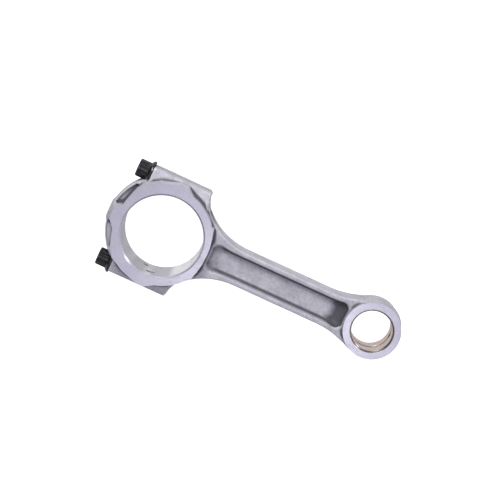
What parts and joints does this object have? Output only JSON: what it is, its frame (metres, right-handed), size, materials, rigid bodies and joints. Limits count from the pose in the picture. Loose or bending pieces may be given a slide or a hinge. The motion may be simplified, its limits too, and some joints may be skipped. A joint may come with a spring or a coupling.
{
  "type": "connecting rod",
  "caption": "Forged I-beam connecting rod with a bolted big-end cap, two flanged cap bolts and a bushed small end.",
  "frame": {"origin": "centre of the big-end bore, on the rod's mid-plane", "axes": "+X from the big end to the small end, +Z along the axis of both bores, +Y across the two cap bolts"},
  "size_m": [0.2149, 0.0828, 0.0314],
  "materials": {
    "forged_steel": "shot-blasted forging with ground side faces and bored eyes",
    "cap_steel": "shot-blasted forging with ground side faces and a bored inside",
    "black_bolt_steel": "black oxide, lightly oiled",
    "bush_bronze": "fine-bored bronze"
  },
  "bodies": {
    "rod": {"rod_body": "forged_steel", "small_end_bush_front": "bush_bronze", "small_end_bush_rear": "bush_bronze"},
    "cap": {"big_end_cap": "cap_steel"},
    "bolt_upper": {"cap_bolt_upper": "black_bolt_steel"},
    "bolt_lower": {"cap_bolt_lower": "black_bolt_steel"}
  },
  "joints": [
    {"name": "cap_slide", "type": "slide", "parent": "rod", "child": "cap", "axis": [-1, 0, 0], "range_m": [0, 0.06]},
    {"name": "bolt_upper_slide", "type": "slide", "parent": "cap", "child": "bolt_upper", "axis": [-1, 0, 0], "range_m": [0, 0.045]},
    {"name": "bolt_lower_slide", "type": "slide", "parent": "cap", "child": "bolt_lower", "axis": [-1, 0, 0], "range_m": [0, 0.045]}
  ]
}
